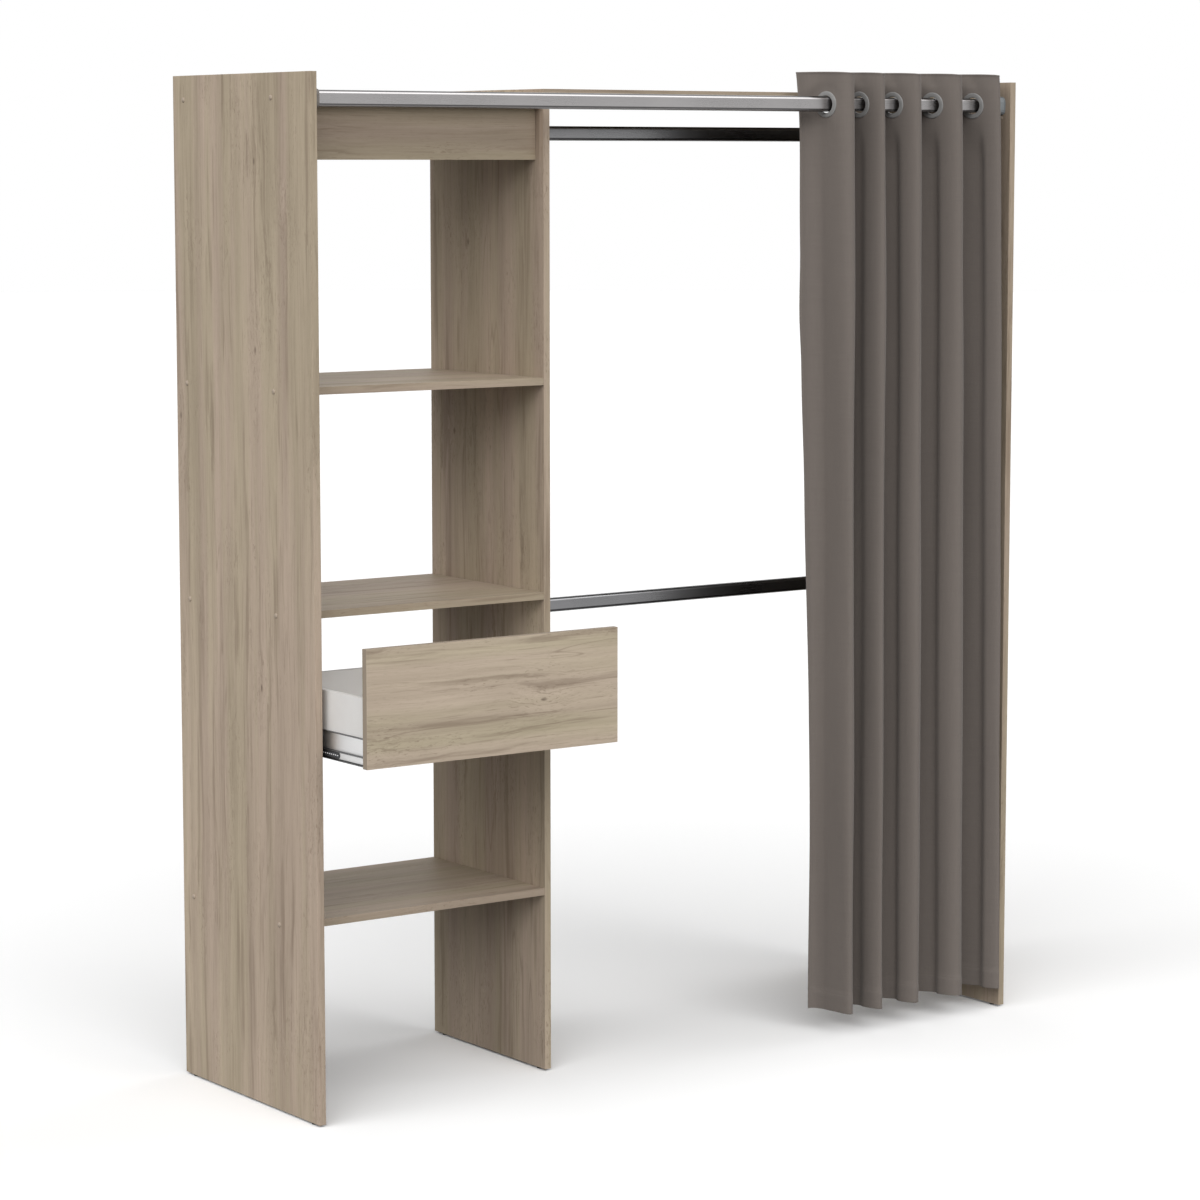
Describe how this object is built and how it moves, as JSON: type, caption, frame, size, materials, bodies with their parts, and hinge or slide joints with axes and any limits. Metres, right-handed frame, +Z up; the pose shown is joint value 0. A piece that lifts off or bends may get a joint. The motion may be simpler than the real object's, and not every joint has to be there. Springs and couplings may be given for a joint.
{
  "type": "extendable clothes rack",
  "caption": "Open wardrobe of wood-effect board: a shelf tower with a pull-out drawer, a side panel that slides out on a top board and telescoping rods, and an eyelet curtain.",
  "frame": {"origin": "on the floor, under the middle of the rack's bounding box as it stands: pulled out to full width, drawer 262 mm open", "axes": "+X to the hanging side (the viewer's right when facing the front), +Y to the back, +Z up"},
  "size_m": [1.772, 0.679, 2.0451],
  "materials": {
    "oak_effect_board": "satin greyed-oak melamine, grain upright",
    "oak_effect_shelf": "satin greyed-oak melamine, grain across",
    "white_board": "satin white melamine",
    "grey_tube": "satin grey lacquer",
    "chrome_tube": "dark polished metal",
    "zinc_slide": "bright zinc plating",
    "grey_socket": "matt blue-grey",
    "grey_eyelet": "satin grey",
    "screw_steel": "matt, painted the colour of the board",
    "black_glide": "matt black",
    "taupe_fabric": "matt woven taupe"
  },
  "bodies": {
    "tower": {"left_side_panel": "oak_effect_board", "middle_panel": "oak_effect_board", "lower_shelf": "oak_effect_shelf", "middle_shelf": "oak_effect_shelf", "upper_shelf": "oak_effect_shelf", "tower_top_board": "oak_effect_shelf", "crosspiece": "oak_effect_shelf", "left_panel_screw_1": "screw_steel", "left_panel_screw_2": "screw_steel", "left_panel_screw_3": "screw_steel", "left_panel_screw_4": "screw_steel", "left_panel_screw_5": "screw_steel", "left_panel_screw_6": "screw_steel", "left_panel_screw_7": "screw_steel", "left_panel_screw_8": "screw_steel", "left_panel_front_foot": "black_glide", "left_panel_rear_foot": "black_glide", "middle_panel_front_foot": "black_glide", "middle_panel_rear_foot": "black_glide", "curtain_rod_outer_tube": "grey_tube", "curtain_rod_left_socket": "grey_socket", "upper_rail_outer_tube": "chrome_tube", "upper_rail_left_socket": "grey_socket", "lower_rail_outer_tube": "chrome_tube", "lower_rail_left_socket": "grey_socket", "slide_left_cabinet_member": "zinc_slide", "slide_right_cabinet_member": "zinc_slide"},
    "right_frame": {"right_side_panel": "oak_effect_board", "top_board": "oak_effect_shelf", "right_panel_screw_1": "screw_steel", "right_panel_screw_2": "screw_steel", "right_panel_front_foot": "black_glide", "right_panel_rear_foot": "black_glide", "curtain_rod_inner_tube": "grey_tube", "curtain_rod_right_socket": "grey_socket", "upper_rail_inner_tube": "chrome_tube", "upper_rail_right_socket": "grey_socket", "lower_rail_inner_tube": "chrome_tube", "lower_rail_right_socket": "grey_socket"},
    "drawer": {"drawer_front": "oak_effect_shelf", "drawer_left_side": "white_board", "drawer_right_side": "white_board", "drawer_back": "white_board", "drawer_bottom": "white_board", "slide_left_drawer_member": "zinc_slide", "slide_right_drawer_member": "zinc_slide"},
    "slide_left_middle": {"slide_left_middle_member": "zinc_slide"},
    "slide_right_middle": {"slide_right_middle_member": "zinc_slide"},
    "curtain": {"curtain_cloth": "taupe_fabric", "eyelet_1": "grey_eyelet", "eyelet_2": "grey_eyelet", "eyelet_3": "grey_eyelet", "eyelet_4": "grey_eyelet", "eyelet_5": "grey_eyelet", "eyelet_6": "grey_eyelet", "eyelet_7": "grey_eyelet", "eyelet_8": "grey_eyelet", "eyelet_9": "grey_eyelet", "eyelet_10": "grey_eyelet"}
  },
  "joints": [
    {"name": "width_extension", "type": "slide", "parent": "tower", "child": "right_frame", "axis": [1, 0, 0], "range_m": [-0.269, 0]},
    {"name": "drawer_slide", "type": "slide", "parent": "tower", "child": "drawer", "axis": [0, -1, 0], "range_m": [-0.262, 0.088]},
    {"name": "left_slide_middle_member", "type": "slide", "parent": "tower", "child": "slide_left_middle", "axis": [0, -1, 0], "range_m": [-0.131, 0.044]},
    {"name": "right_slide_middle_member", "type": "slide", "parent": "tower", "child": "slide_right_middle", "axis": [0, -1, 0], "range_m": [-0.131, 0.044]},
    {"name": "curtain_slide", "type": "slide", "parent": "right_frame", "child": "curtain", "axis": [1, 0, 0], "range_m": [-0.37, 0]}
  ],
  "couplings": [
    {"joint": "left_slide_middle_member", "follows": "drawer_slide", "ratio": 0.5},
    {"joint": "right_slide_middle_member", "follows": "drawer_slide", "ratio": 0.5}
  ]
}
